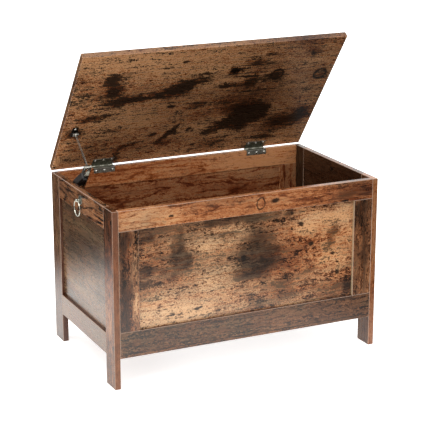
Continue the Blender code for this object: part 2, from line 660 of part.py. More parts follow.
# Damper housing on the lower arm, with a tongue that covers the side of the fork
housing_turn = bpy.data.objects.new("stay_housing_place", None)
housing_turn.parent = lower_pivot
housing_turn.location = side(HOUSING_CENTRE_ALONG, HOUSING_CENTRE_ACROSS)
housing_turn.rotation_euler = (-math.radians(HOUSING_TILT_DEG), 0, 0)
CHEST.objects.link(housing_turn)
housing_low_x = from_wall(HOUSING_SIDE_INSET)
housing = box("stay_damper_housing", (housing_low_x, -HOUSING_LENGTH / 2, -HOUSING_WIDTH / 2),
              (from_wall(STAY_FAR_LIMB_INSET - FIT_GAP), HOUSING_LENGTH / 2, HOUSING_WIDTH / 2),
              CHEST, BLACK, housing_turn, HOUSING_ROUND)
tongue = box("stay housing tongue",
             (housing_low_x + HOUSING_ROUND / 2, -HOUSING_LENGTH / 2 - HOUSING_TONGUE_LENGTH,
              -HOUSING_WIDTH / 2 + HOUSING_ROUND / 2),
             (from_wall(near_limb_inset - FIT_GAP), -HOUSING_LENGTH / 2 + HOUSING_WIDTH / 2,
              HOUSING_WIDTH / 2 - HOUSING_ROUND / 2),
             CUTTERS, None, housing_turn, HOUSING_ROUND / 2)
join(housing, tongue)

# Elbow pin and upper arm
elbow_reach = STAY_CLEVIS_INNER_WIDTH / 2 + STAY_SHEET + FIT_GAP
copy_of(rivet_mesh("stay_elbow_pin", elbow_reach), "stay_elbow_pin", (stay_middle_x, -lower_link, 0),
        (0, math.pi / 2, 0), parent=lower_pivot)

upper_arm = sheet("stay_upper_arm", [stadium(upper_link, STAY_UPPER_ARM_WIDTH)], STAY_UPPER_ARM_THICKNESS,
                  collection=CHEST, parent=upper_pivot)
upper_arm.data.materials.append(ZINC)
upper_arm.location = (stay_middle_x, 0, 0)
lid_end_half = LID_BRACKET_EAR_GAP / 2 - FIT_GAP
elbow_end_half = STAY_CLEVIS_INNER_WIDTH / 2 - FIT_GAP
for boss_name, along, half_width in (("elbow", 0, elbow_end_half), ("lid", upper_link, lid_end_half)):
    ends = [Vector((stay_middle_x + s * half_width, -along, 0)) for s in (-1, 1)]
    overrun = Vector((CUT_OVERRUN, 0, 0))
    join(upper_arm, rod(f"stay {boss_name} boss", STAY_BOSS_RADIUS, ends[0], ends[1], PIN_FACETS,
                        CUTTERS, upper_pivot))
    cut(upper_arm, rod(f"stay {boss_name} bore", PIN_HOLE, ends[0] - overrun, ends[1] + overrun, PIN_FACETS,
                       CUTTERS, upper_pivot))

# Bracket under the lid: a screwed plate with two ears and a pin
bracket_top = HINGE_RISE - FIT_GAP
bracket_low = bracket_top - LID_BRACKET_SHEET
bracket_half = LID_BRACKET_WIDTH / 2
bracket = box("stay_lid_bracket",
              (stay_middle_x - bracket_half, -STAY_LID_PIN_REACH - LID_BRACKET_LENGTH / 2, bracket_low),
              (stay_middle_x + bracket_half, -STAY_LID_PIN_REACH + LID_BRACKET_LENGTH / 2, bracket_top),
              CHEST, ZINC, lid_pivot)
ear_half = LID_BRACKET_EAR_GAP / 2
ear_rise = STAY_LID_PIN_DROP + bracket_low + LID_BRACKET_SHEET / 2
for ear_name, sign in (("outer", -1), ("inner", 1)):
    middle_x = stay_middle_x + sign * (ear_half + LID_BRACKET_SHEET / 2)
    ear = sheet(f"stay {ear_name} ear", [circle(LID_BRACKET_EAR_RADIUS)], LID_BRACKET_SHEET, parent=lid_pivot)
    ear.location = (middle_x, -STAY_LID_PIN_REACH, -STAY_LID_PIN_DROP)
    neck_half = LID_BRACKET_EAR_RADIUS * math.cos(math.pi / PIN_FACETS)
    neck = box(f"stay {ear_name} ear neck",
               (middle_x - LID_BRACKET_SHEET / 2, -STAY_LID_PIN_REACH - neck_half, -STAY_LID_PIN_DROP),
               (middle_x + LID_BRACKET_SHEET / 2, -STAY_LID_PIN_REACH + neck_half,
                -STAY_LID_PIN_DROP + ear_rise), CUTTERS, None, lid_pivot)
    join(bracket, neck)
    join(bracket, ear)
pin_hole_reach = Vector((ear_half + LID_BRACKET_SHEET + CUT_OVERRUN, 0, 0))
lid_pin_place = Vector((stay_middle_x, -STAY_LID_PIN_REACH, -STAY_LID_PIN_DROP))
cut(bracket, rod("stay lid pin hole", PIN_HOLE, lid_pin_place - pin_hole_reach,
                 lid_pin_place + pin_hole_reach, PIN_FACETS, CUTTERS, lid_pivot))
for number, sign in ((1, -1), (2, 1)):
    along = -STAY_LID_PIN_REACH + sign * LID_BRACKET_SCREW_SPACING / 2
    seat = Vector((stay_middle_x, along, bracket_low - FIT_GAP))
    through = Vector((0, 0, CUT_OVERRUN))
    cut(bracket, rod(f"stay lid screw hole {number}", SCREW_SHANK_RADIUS + FIT_GAP, seat - through,
                     seat + through, SCREW_FACETS, CUTTERS, lid_pivot))
    wood_screw(f"stay_lid_screw_{number}", seat, (0, 0, -1), lid, lid_pivot)
lid_pin_reach = ear_half + LID_BRACKET_SHEET + FIT_GAP
copy_of(rivet_mesh("stay_lid_pin", lid_pin_reach), "stay_lid_pin", lid_pin_place, (0, math.pi / 2, 0),
        parent=lid_pivot)


# Ring pulls: a rose, an eye post that passes through the rail to a nut, and a ring hanging in the eye
rose_front = FIT_GAP + HANDLE_ROSE_THICKNESS
rose_shoulder = (HANDLE_ROSE_RADIUS * HANDLE_ROSE_SHOULDER_SHARES[0],
                 FIT_GAP + HANDLE_ROSE_THICKNESS * HANDLE_ROSE_SHOULDER_SHARES[1])
ROSE_MESH = turned_mesh("handle_rose", (
    (HANDLE_TAIL_RADIUS + FIT_GAP, rose_front), (HANDLE_NECK_RADIUS + HANDLE_ROSE_RIM, rose_front),
    rose_shoulder,
    (HANDLE_ROSE_RADIUS, FIT_GAP + HANDLE_ROSE_RIM), (HANDLE_ROSE_RADIUS, FIT_GAP),
    (HANDLE_TAIL_RADIUS + FIT_GAP, FIT_GAP), (HANDLE_TAIL_RADIUS + FIT_GAP, rose_front),
), ROSE_FACETS)


def arc_profile(centre, radius, first, last):
    """Points of a turned bead between two angles, measured down from its top."""
    points = []
    for i in range(ARC_STEPS + 1):
        turn = first + (last - first) * i / ARC_STEPS
        points.append((radius * math.sin(turn), centre + radius * math.cos(turn)))
    return points


def eye_post_profile():
    tail_end = -BOARD - FIT_GAP - HANDLE_NUT_HEIGHT - FIT_GAP
    shoulder = rose_front + FIT_GAP
    eye_meet = math.pi - math.asin(HANDLE_NECK_RADIUS / HANDLE_EYE_RADIUS)
    bead_meet = math.asin(HANDLE_NECK_RADIUS / HANDLE_BEAD_RADIUS)
    bead_centre = shoulder + HANDLE_BEAD_RADIUS * math.cos(bead_meet)
    points = arc_profile(HANDLE_EYE_STANDOFF, HANDLE_EYE_RADIUS, 0, eye_meet)
    points += arc_profile(bead_centre, HANDLE_BEAD_RADIUS, bead_meet, math.pi - bead_meet)
    points += [(HANDLE_TAIL_RADIUS, shoulder), (HANDLE_TAIL_RADIUS, tail_end), (0, tail_end)]
    return points


def eye_post_mesh():
    turned = turned_mesh("eye post", eye_post_profile(), PIN_FACETS)
    post = put_in(CUTTERS, bpy.data.objects.new("handle_eye_post", turned))
    centre = Vector((0, 0, HANDLE_EYE_STANDOFF))
    reach = Vector((0, HANDLE_EYE_RADIUS + CUT_OVERRUN, 0))
    hole = rod("eye post hole", RING_WIRE_RADIUS + RING_EYE_CLEARANCE, centre - reach, centre + reach,
               PIN_FACETS)
    cut(post, hole)
    mesh = finished_mesh(post, (hole,))
    smooth(mesh)
    return mesh


EYE_POST_MESH = eye_post_mesh()
nut_top = -BOARD - FIT_GAP
nut_end = nut_top - HANDLE_NUT_HEIGHT
nut_bore = HANDLE_TAIL_RADIUS + NUT_BORE_CLEARANCE
NUT_MESH = turned_mesh("handle_nut", (
    (nut_bore, nut_top), (HANDLE_NUT_RADIUS, nut_top), (HANDLE_NUT_RADIUS, nut_end),
    (nut_bore, nut_end), (nut_bore, nut_top),
), NUT_FACETS)


def ring_mesh():
    """A wire ring that hangs from its own top, in the plane across its X axis."""
    bpy.ops.mesh.primitive_torus_add(major_segments=RING_FACETS, minor_segments=RING_WIRE_FACETS,
                                     major_radius=RING_RADIUS, minor_radius=RING_WIRE_RADIUS)
    torus = bpy.context.object
    mesh = torus.data
    bpy.data.objects.remove(torus, do_unlink=True)
    mesh.transform(Matrix.Translation((0, 0, -RING_RADIUS)) @ Matrix.Rotation(math.pi / 2, 4, "Y"))
    mesh.shade_smooth()
    return mesh


RING_MESH = ring_mesh()


def ring_pull(side_name, sign, rail):
    outward = Vector((sign, 0, 0))
    face = Vector((sign * CHEST_WIDTH / 2, (FRONT_Y + BACK_Y) / 2, CHEST_HEIGHT - HANDLE_DROP))
    rotation = (0, sign * math.pi / 2, 0)
    copy_of(ROSE_MESH, f"{side_name}_handle_rose", face, rotation)
    copy_of(EYE_POST_MESH, f"{side_name}_handle_eye_post", face, rotation)
    copy_of(NUT_MESH, f"{side_name}_handle_nut", face, rotation)
    copy_of(RING_MESH, f"{side_name}_handle_ring", face + outward * HANDLE_EYE_STANDOFF)
    bore_ends = [face - outward * (BOARD + CUT_OVERRUN), face + outward * CUT_OVERRUN]
    cut(rail, rod(f"{side_name} handle bore", HANDLE_TAIL_RADIUS + FIT_GAP, *bore_ends, PIN_FACETS))


ring_pull("left", -1, left_top_rail)
ring_pull("right", 1, right_top_rail)
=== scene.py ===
"""A rustic storage chest of wood-print board, its lid open on a folding stay."""
import math
import bpy
from mathutils import Euler, Matrix, Vector


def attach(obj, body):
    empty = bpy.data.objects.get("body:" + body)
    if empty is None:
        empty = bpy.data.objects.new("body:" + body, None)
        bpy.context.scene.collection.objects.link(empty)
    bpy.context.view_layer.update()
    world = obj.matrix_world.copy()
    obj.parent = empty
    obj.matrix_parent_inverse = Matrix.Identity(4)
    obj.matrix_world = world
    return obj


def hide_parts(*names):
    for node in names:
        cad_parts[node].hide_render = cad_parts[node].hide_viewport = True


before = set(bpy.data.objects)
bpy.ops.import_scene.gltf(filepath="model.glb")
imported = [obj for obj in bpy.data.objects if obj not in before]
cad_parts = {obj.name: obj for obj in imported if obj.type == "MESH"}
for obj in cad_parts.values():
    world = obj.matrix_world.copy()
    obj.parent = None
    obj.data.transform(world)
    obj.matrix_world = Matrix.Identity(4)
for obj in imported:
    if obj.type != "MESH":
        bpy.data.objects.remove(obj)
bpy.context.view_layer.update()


# Camera, floor and light
# A long lens from the front left, a little above the rim. The chest stands on white backdrop paper in
# a white room, under one big softbox. The paper round it carries a painted pool of light: its colour and
# glow are bright near the chest and fall off into painted shade.
CAMERA_PLACE = (-1.6861, -3.5538, 1.5041)
CAMERA_PITCH_DEG = 73.734
CAMERA_YAW_DEG = -25.489
CAMERA_LENS_MM = 126.89
CAMERA_SENSOR_MM = 36.0
ROOM_LIGHT = 1.25
FLOOR_HALF = 40.0
LIT_PAPER_CENTRE = (-0.42, -0.12, 0.0)
LIT_PAPER_REACH = (1.35, 1.2, 1.0)
LIT_PAPER_EDGE = (0.12, 0.46)
LIT_PAPER_COLOUR = "#fdfdfc"
SHADED_PAPER_COLOUR = "#33302d"
PAPER_GLOW = 0.55
# Extra glow that only the camera sees: painted light that washes out the chest's shadow towards +X
SHADOW_WASH_GLOW = 0.22
SHADOW_WASH_FROM_X = -0.4
SHADOW_WASH_TO_X = -0.05
SOFTBOX_SIZE = 1.8
SOFTBOX_ENERGY = 45
SOFTBOX_PLACE = (-1.2, -1.6, 3.2)
SOFTBOX_AIM = (0, 0, 0.3)

scene = bpy.context.scene
scene.view_settings.view_transform = "Standard"


def linear(colour):
    """An sRGB hex colour as the linear colour that a shader works in."""
    parts = [int(colour[i:i + 2], 16) / 255 for i in (1, 3, 5)]
    parts = [p / 12.92 if p <= 0.04045 else ((p + 0.055) / 1.055) ** 2.4 for p in parts]
    return (*parts, 1.0)


def add_node(tree, kind, inputs=(), **settings):
    """Adds a node to a tree, with its settings, its values and its links."""
    made = tree.nodes.new(kind)
    for name, value in settings.items():
        setattr(made, name, value)
    for socket, value in dict(inputs).items():
        if isinstance(value, bpy.types.Node):
            value = next(out for out in value.outputs if out.enabled)
        if isinstance(value, bpy.types.NodeSocket):
            tree.links.new(value, made.inputs[socket])
        else:
            made.inputs[socket].default_value = value
    return made


def new_material(name):
    """An empty material, its tree and its output node."""
    material = bpy.data.materials.new(name)
    material.use_nodes = True
    tree = material.node_tree
    tree.nodes.clear()
    return material, tree, add_node(tree, "ShaderNodeOutputMaterial")


camera_data = bpy.data.cameras.new("photo camera")
camera_data.lens = CAMERA_LENS_MM
camera_data.sensor_width = CAMERA_SENSOR_MM
camera = bpy.data.objects.new("photo camera", camera_data)
camera.location = CAMERA_PLACE
camera.rotation_euler = Euler([math.radians(a) for a in (CAMERA_PITCH_DEG, 0, CAMERA_YAW_DEG)])
scene.collection.objects.link(camera)
scene.camera = camera

world = bpy.data.worlds.new("white room")
world.use_nodes = True
world.node_tree.nodes.clear()
room = add_node(world.node_tree, "ShaderNodeBackground", {"Color": (1, 1, 1, 1), "Strength": ROOM_LIGHT})
add_node(world.node_tree, "ShaderNodeOutputWorld", {"Surface": room})
scene.world = world

floor_mesh = bpy.data.meshes.new("studio floor")
floor_mesh.from_pydata([(-FLOOR_HALF, -FLOOR_HALF, 0), (FLOOR_HALF, -FLOOR_HALF, 0),
                        (FLOOR_HALF, FLOOR_HALF, 0), (-FLOOR_HALF, FLOOR_HALF, 0)], [], [(0, 1, 2, 3)])
floor = bpy.data.objects.new("studio floor", floor_mesh)
scene.collection.objects.link(floor)

# The camera sees white paper everywhere. The chest sees a painted pool of light on it: lit, glowing paper
# near by and painted shade further off. The glow is painted light, not a lamp.
paper, tree, output = new_material("white backdrop paper, lit from below")
where = add_node(tree, "ShaderNodeTexCoord")
near = add_node(tree, "ShaderNodeMapping", {
    "Vector": where.outputs["Object"], "Location": LIT_PAPER_CENTRE, "Scale": LIT_PAPER_REACH},
    vector_type="TEXTURE")
near = add_node(tree, "ShaderNodeTexGradient", {"Vector": near}, gradient_type="SPHERICAL")
near = add_node(tree, "ShaderNodeMapRange", {
    "Value": near, "From Min": LIT_PAPER_EDGE[0], "From Max": LIT_PAPER_EDGE[1]},
    interpolation_type="SMOOTHSTEP")
seen = add_node(tree, "ShaderNodeLightPath")
near = add_node(tree, "ShaderNodeMath", {0: near, 1: seen.outputs["Is Camera Ray"]}, operation="MAXIMUM")
tint = add_node(tree, "ShaderNodeMix", {
    0: near, 6: linear(SHADED_PAPER_COLOUR), 7: linear(LIT_PAPER_COLOUR)}, data_type="RGBA")
glow = add_node(tree, "ShaderNodeMath", {0: near, 1: PAPER_GLOW}, operation="MULTIPLY")
# Painted light: only the camera sees extra glow on the paper from this X on, which washes out the chest's
# shadow
along = add_node(tree, "ShaderNodeSeparateXYZ", {0: where.outputs["Object"]})
bright = add_node(tree, "ShaderNodeMapRange", {
    "Value": along.outputs["X"], "From Min": SHADOW_WASH_FROM_X, "From Max": SHADOW_WASH_TO_X,
    "To Max": SHADOW_WASH_GLOW}, interpolation_type="SMOOTHSTEP")
glow = add_node(tree, "ShaderNodeMath", {0: bright, 1: seen.outputs["Is Camera Ray"], 2: glow},
                operation="MULTIPLY_ADD")
matt = add_node(tree, "ShaderNodeBsdfPrincipled", {
    "Base Color": tint.outputs[2], "Roughness": 0.9, "Specular IOR Level": 0.0,
    "Emission Color": (1, 1, 1, 1), "Emission Strength": glow})
tree.links.new(matt.outputs[0], output.inputs[0])
floor_mesh.materials.append(paper)

softbox_data = bpy.data.lights.new("softbox", "AREA")
softbox_data.shape = "DISK"
softbox_data.size = SOFTBOX_SIZE
softbox_data.energy = SOFTBOX_ENERGY
softbox = bpy.data.objects.new("softbox", softbox_data)
softbox.location = SOFTBOX_PLACE
softbox.rotation_euler = (Vector(SOFTBOX_AIM) - softbox.location).to_track_quat("-Z", "Y").to_euler()
scene.collection.objects.link(softbox)


# Side frames
# Four boards of 16 mm particle board round a thin infill, the two stiles running down to the floor
# as legs. Wood-print foil covers each board, its grain along the board. Dowels and glue hold them.
ALONG_X_ACROSS_Z = (-90, 0, 0)
ALONG_Y_ACROSS_Z = (-90, -90, 0)
ALONG_Z_ACROSS_X = (90, 0, 90)
ALONG_Z_ACROSS_Y = (0, 90, 0)

# Prints of the foil, from the darkest grain to the palest
TAN_PRINT = ("#261a10", "#654a34", "#a07b5a", "#ceab83")
ORANGE_PRINT = ("#251108", "#6f3a20", "#a6663d", "#cd986a")
GREY_PRINT = ("#2a1f13", "#58452f", "#796347", "#9d8767")
BROWN_PRINT = ("#1c1009", "#442917", "#69432b", "#956948")
DARK_PRINT = ("#140a05", "#2a160b", "#432615", "#67432a")
PRINT_STEPS = (0.08, 0.40, 0.62, 0.95)
MIDDLE_TONE = 0.48
SMOKE_COLOUR = "#1a100a"
TICK_COLOUR = "#1a0f08"
KNOT_COLOUR = "#110a06"
RING_COLOUR = "#160d08"
DARK_RED_BROWN = "#4a2415"
CREAM_CORE = "#cdb48d"
# A painted highlight laid over the bevels
BEVEL_HIGHLIGHT_COLOUR = "#b89c88"

# Spots are given in mm and fade out at 1.43 times their half sizes. A ring lies where one is down to 0.35.
MM_PER_M = 1000
SPOT_FADE = 700
RING_LEVEL = 0.35

# The span over which the print wanders along, across and through a board, in metres
STAIN_WANDER = (0.066, 0.046, 0.0)
KNOT_WANDER = (0.014, 0.012, 0.0)
GRAIN_WANDER = (0.0, 0.016, 0.0)
SEED_STEP = (1.37, 0.71, 0.53)
FOIL_IOR = 1.5


def spots(tree, place, marks):
    """Soft spots of print at (along, across), each with its half sizes, turn and strength."""
    total = None
    for along, across, half_along, half_across, turn, strength in marks:
        centred = add_node(tree, "ShaderNodeMapping", {
            "Vector": place, "Location": (along / MM_PER_M, across / MM_PER_M, 0),
            "Rotation": (0, 0, math.radians(turn)),
            "Scale": (half_along / SPOT_FADE, half_across / SPOT_FADE, 1)}, vector_type="TEXTURE")
        spot = add_node(tree, "ShaderNodeTexGradient", {"Vector": centred}, gradient_type="SPHERICAL")
        total = add_node(tree, "ShaderNodeMath",
                         {0: spot, 1: strength, 2: total if total else 0.0}, operation="MULTIPLY_ADD")
    return total


def print_board(name, turn, shift, cool, warm, seed, smoke=(), knots=(), pale=(), rings=(), hue=(),
                edge_faces=(), edge_pale=0.7, warmth=0.5, grain=1.0, mottle=1.0, tone_shift=0.0,
                char=0.82, stain=1.0, smoke_rise=(0.22, 0.9), ticks=1.0, lines=9.0, line_depth=0.1,
                line_stretch=(4.0, 46.0, 46.0), gloss=1.0):
    """Wood-print foil whose grain runs along X once the board's place is turned and shifted.
    Warmth moves it from the cool print to the warm one. Stain is how strong the smoke spots are, char how
    black they get and smoke_rise how softly they start. Gloss is how much the lacquer mirrors."""
    material, tree, output = new_material(f"wood-print foil on particle board, {name}")

    def sum_of(base, *terms, marks=(), place=None):
        """The base plus each socket less its middle of 0.5, times its weight, plus any spots."""
        total = None
        for socket, weight in terms:
            start = total if total else base - sum(w for _, w in terms) / 2
            total = add_node(tree, "ShaderNodeMath", {0: socket, 1: weight, 2: start},
                             operation="MULTIPLY_ADD")
        if marks:
            total = add_node(tree, "ShaderNodeMath", {0: total, 1: spots(tree, place, marks)},
                             operation="ADD")
        return total

    def paint_over(share, under, colour):
        """One flat colour laid over what is there already, by a share from 0 to 1."""
        return add_node(tree, "ShaderNodeMix", {0: share, 6: under.outputs[2], 7: linear(colour)},
                        data_type="RGBA")

    where = add_node(tree, "ShaderNodeTexCoord")
    board = add_node(tree, "ShaderNodeMapping", {
        "Vector": where.outputs["Object"], "Location": shift, "Rotation": [math.radians(a) for a in turn]})
    seeded = add_node(tree, "ShaderNodeVectorMath",
                      {0: board, 1: [seed * step for step in SEED_STEP]}, operation="ADD")

    # The print wanders by a few millimetres to a centimetre, so no spot or line has a plain outline
    wander = add_node(tree, "ShaderNodeTexNoise",
                      {"Vector": seeded, "Scale": 34.0, "Detail": 5.0, "Roughness": 0.72})
    wander = add_node(tree, "ShaderNodeVectorMath", {0: wander.outputs["Color"], 1: (0.5, 0.5, 0.5)},
                      operation="SUBTRACT")
    places = []
    for reach, base in ((STAIN_WANDER, board), (KNOT_WANDER, board), (GRAIN_WANDER, seeded)):
        offset = add_node(tree, "ShaderNodeVectorMath", {0: wander, 1: reach}, operation="MULTIPLY")
        places.append(add_node(tree, "ShaderNodeVectorMath", {0: base, 1: offset}, operation="ADD"))
    wandered, nearly, grain_place = places

    # Broad tone 250 mm long, weathered clouds, blotches of 20 mm, streaks 8 mm wide, growth lines, dark
    # ticks 5 mm wide, and fine fibres and grit drawn at 2 to 4 mm where the print has 0.5 mm
    layers = []
    for stretch, detail, rough in (((4.0, 9.0, 9.0), 2.0, 0.5), ((11.0, 16.0, 16.0), 6.0, 0.72),
                                   ((38.0, 50.0, 50.0), 5.0, 0.85), ((9.0, 130.0, 130.0), 4.0, 0.62),
                                   (line_stretch, 2.0, 0.5), ((40.0, 190.0, 190.0), 2.0, 0.6),
                                   ((90.0, 480.0, 480.0), 2.0, 0.6), ((250.0, 330.0, 330.0), 2.0, 0.6)):
        stretched = add_node(tree, "ShaderNodeVectorMath", {0: grain_place, 1: stretch},
                             operation="MULTIPLY")
        layers.append(add_node(tree, "ShaderNodeTexNoise", {
            "Vector": stretched, "Scale": 1.0, "Detail": detail, "Roughness": rough}))
    broad, cloud, blotch, streak, growth, tick, fibre, grit = layers

    # Growth lines are the contours of a slow noise, so they bend round each other as in sawn wood
    ridge = add_node(tree, "ShaderNodeMath", {0: growth, 1: lines}, operation="MULTIPLY")
    ridge = add_node(tree, "ShaderNodeMath", {0: ridge, 1: 0.5}, operation="PINGPONG")
    ridge = add_node(tree, "ShaderNodeMapRange", {"Value": ridge, "From Min": 0.03, "From Max": 0.16})
    tone = sum_of(MIDDLE_TONE + tone_shift, (broad, 1.0 * mottle), (cloud, 1.2 * mottle),
                  (blotch, 1.9 * mottle), (streak, 1.2 * grain), (fibre, 1.5 * grain),
                  (grit, 1.2 * grain), (ridge, line_depth), marks=pale, place=wandered)
    tint = sum_of(warmth, (cloud, 1.6), (growth, 1.2), (blotch, 1.6), marks=hue, place=wandered)
    tints = []
    for print_tones in (cool, warm):
        wood = add_node(tree, "ShaderNodeValToRGB", {0: tone})
        steps = wood.color_ramp.elements
        for place in PRINT_STEPS[1:3]:
            steps.new(place)
        for step, place, colour in zip(steps, PRINT_STEPS, print_tones):
            step.position = place
            step.color = linear(colour)
        tints.append(wood)
    tint = add_node(tree, "ShaderNodeMapRange", {"Value": tint})
    colour = add_node(tree, "ShaderNodeMix", {0: tint, 6: tints[0], 7: tints[1]}, data_type="RGBA")

    # Smoke: charcoal stains with the grain still showing in them, and dark ticks thickest round them
    smoky = sum_of(0.0, (cloud, 1.4 * mottle), (blotch, 3.2 * mottle), (streak, 3.0 * grain),
                   (fibre, 2.2 * grain), (grit, 2.0 * grain),
                   marks=[(*mark[:5], mark[5] * stain) for mark in smoke], place=wandered)
    darkness = add_node(tree, "ShaderNodeMapRange", {
        "Value": smoky, "From Min": smoke_rise[0], "From Max": smoke_rise[1], "To Max": char})
    colour = paint_over(darkness, colour, SMOKE_COLOUR)
    ticked = sum_of(0.0, (tick, 1.0), (blotch, 0.7), (fibre, 0.5), (smoky, 0.25))
    ticked = add_node(tree, "ShaderNodeMapRange", {
        "Value": ticked, "From Min": 0.16, "From Max": 0.26, "To Max": 0.7 * ticks})
    colour = paint_over(ticked, colour, TICK_COLOUR)
    if knots:
        knot = sum_of(0.0, (fibre, 0.7), (blotch, 0.8), marks=knots, place=nearly)
        knot = add_node(tree, "ShaderNodeMapRange", {
            "Value": knot, "From Min": 0.15, "From Max": 0.50, "To Max": 0.93},
            interpolation_type="SMOOTHSTEP")
        colour = paint_over(knot, colour, KNOT_COLOUR)
    if rings:
        ring = add_node(tree, "ShaderNodeMath", {0: spots(tree, nearly, rings), 1: RING_LEVEL},
                        operation="SUBTRACT")
        ring = add_node(tree, "ShaderNodeMath", {0: ring}, operation="ABSOLUTE")
        ring = add_node(tree, "ShaderNodeMapRange", {
            "Value": ring, "From Min": 0.03, "From Max": 0.12, "To Min": 0.92, "To Max": 0.0})
        colour = paint_over(ring, colour, RING_COLOUR)

    # Edges: a painted highlight pales the foil over the 0.8 mm bevel. Faces turned a given way take a
    # colour
    # of their own: the core in the sides of the recess, and painted shade on the recess floor and the
    # inside faces.
    facing = add_node(tree, "ShaderNodeMapping", {
        "Vector": where.outputs["Normal"], "Rotation": [math.radians(a) for a in turn]},
        vector_type="VECTOR")
    facing = add_node(tree, "ShaderNodeVectorMath", {0: facing}, operation="ABSOLUTE")
    spread = add_node(tree, "ShaderNodeVectorMath", {0: facing, 1: (1, 1, 1)}, operation="DOT_PRODUCT")
    bevel = add_node(tree, "ShaderNodeMapRange", {
        "Value": spread.outputs["Value"], "From Min": 1.1, "From Max": 1.3, "To Max": edge_pale})
    colour = paint_over(bevel, colour, BEVEL_HIGHLIGHT_COLOUR)
    for direction, core, share in edge_faces:
        faced = add_node(tree, "ShaderNodeVectorMath", {0: where.outputs["Normal"], 1: direction},
                         operation="DOT_PRODUCT")
        faced = add_node(tree, "ShaderNodeMapRange", {
            "Value": faced.outputs["Value"], "From Min": 0.75, "From Max": 0.9, "To Max": share})
        colour = paint_over(faced, colour, core)

    # The lacquered foil is satin, so it mirrors the bright paper softly where it is seen at a slant
    sheen = add_node(tree, "ShaderNodeMapRange", {
        "Value": streak, "From Min": 0.3, "From Max": 0.7, "To Min": 0.22, "To Max": 0.34})
    pores = sum_of(0.5, (streak, 0.8), (fibre, 1.0))
    emboss = add_node(tree, "ShaderNodeBump", {"Height": pores, "Strength": 0.2, "Distance": 0.0005})
    foil = add_node(tree, "ShaderNodeBsdfPrincipled", {
        "Base Color": colour.outputs[2], "Roughness": sheen, "Normal": emboss, "IOR": FOIL_IOR,
        "Specular IOR Level": 0.5 * gloss, "Coat Weight": 0.15 * gloss, "Coat Roughness": 0.2})
    tree.links.new(foil.outputs[0], output.inputs[0])
    return material


def dress(node, material):
    """Gives a CAD piece its finish."""
    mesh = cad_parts[node].data
    if not mesh.materials:
        mesh.materials.append(material)
    for index in range(len(mesh.materials)):
        mesh.materials[index] = material


def print_on(node, turn, cool, warm, seed, **look):
    """Prints one straight board of the body."""
    dress(node, print_board(node.replace("_", " "), turn, (0, 0, 0), cool, warm, seed, **look))


# Faces of a board that differ from its print: the way they face, their colour and its share
# The upper faces of the bottom rails, the floor of the recess, are painted dark red-brown as shade in the
# groove
SHADED_RECESS_FLOOR = ((0, 0, 1), DARK_RED_BROWN, 0.8)
LEFT_LEG_FRONT = ((0, -1, 0), "#7a5340", 0.6)
BACK_LEG_FRONT = ((0, -1, 0), DARK_RED_BROWN, 0.7)
RIGHT_SIDE_FRONT = ((0, -1, 0), "#6b3d21", 0.6)
# The inside faces of the right side frame, its leg too, are darkened nearly to black as painted shade
SHADED_RIGHT_LEG_INSIDE = ((-1, 0, 0), "#321a0c", 0.8)
SHADED_RIGHT_SIDE_INSIDE = ((-1, 0, 0), "#180b05", 0.85)
print_on("left_top_rail", ALONG_Y_ACROSS_Z, BROWN_PRINT, ORANGE_PRINT, 1, warmth=0.15, grain=0.6,
         mottle=0.4, ticks=0.4, lines=8.0, line_depth=0.8, line_stretch=(3.0, 27.0, 27.0),
         tone_shift=-0.2)
print_on("left_bottom_rail", ALONG_Y_ACROSS_Z, GREY_PRINT, BROWN_PRINT, 2, warmth=0.6, grain=0.3,
         mottle=0.25, ticks=0.1, line_depth=0.0, tone_shift=0.1, edge_faces=[SHADED_RECESS_FLOOR])
print_on("left_front_stile", ALONG_Z_ACROSS_Y, BROWN_PRINT, ORANGE_PRINT, 3, warmth=0.0, grain=0.6,
         mottle=0.5, ticks=0.4, tone_shift=-0.05, line_depth=0.2, edge_faces=[LEFT_LEG_FRONT],
         knots=[(439, -217, 7, 5, 0, 1.0), (110, -216, 8, 5, 0, 1.0)],
         smoke=[(328, -196, 24, 16, 0, 0.9)],
         pale=[(170, -190, 90, 30, 0, 0.2), (400, -195, 120, 60, 0, -0.42)],
         hue=[(340, -196, 190, 60, 0, 1.0)], gloss=0.5)
print_on("left_back_stile", ALONG_Z_ACROSS_Y, BROWN_PRINT, GREY_PRINT, 4, warmth=0.1, grain=0.5,
         mottle=0.4, ticks=0.3, line_depth=0.2, tone_shift=-0.05, edge_faces=[BACK_LEG_FRONT])
# The pale spot low on the left infill is painted sheen, on top of the paper's real reflection
print_on("left_infill_panel", ALONG_Y_ACROSS_Z, GREY_PRINT, BROWN_PRINT, 5, warmth=0.6, grain=0.6,
         mottle=0.7, ticks=0.2, tone_shift=-0.02, line_depth=0.0,
         smoke=[(26, 242, 26, 18, 0, 0.75), (-101, 222, 32, 20, 0, 0.6), (101, 400, 30, 20, 0, 0.8),
                (-52, 405, 50, 26, 0, 0.75), (92, 302, 22, 24, 0, 0.75), (-114, 350, 60, 14, -25, 0.7),
                (-20, 340, 40, 16, -20, 0.6)],
         pale=[(0, 190, 190, 70, 0, 0.3)])
for seed, (piece, turn, warm, light) in enumerate((
        ("front_stile", ALONG_Z_ACROSS_Y, ORANGE_PRINT, 0.1),
        ("back_stile", ALONG_Z_ACROSS_Y, GREY_PRINT, 0.05),
        ("top_rail", ALONG_Y_ACROSS_Z, ORANGE_PRINT, 0.05),
        ("bottom_rail", ALONG_Y_ACROSS_Z, GREY_PRINT, 0.05),
        ("infill_panel", ALONG_Y_ACROSS_Z, ORANGE_PRINT, 0.05)), start=11):
    leg = piece == "front_stile"
    print_on(f"right_{piece}", turn, BROWN_PRINT, warm, seed, warmth=1.2 if leg else 0.5, ticks=0.5,
             line_depth=0.25, tone_shift=light,
             edge_faces=[RIGHT_SIDE_FRONT, SHADED_RIGHT_LEG_INSIDE if leg else SHADED_RIGHT_SIDE_INSIDE])
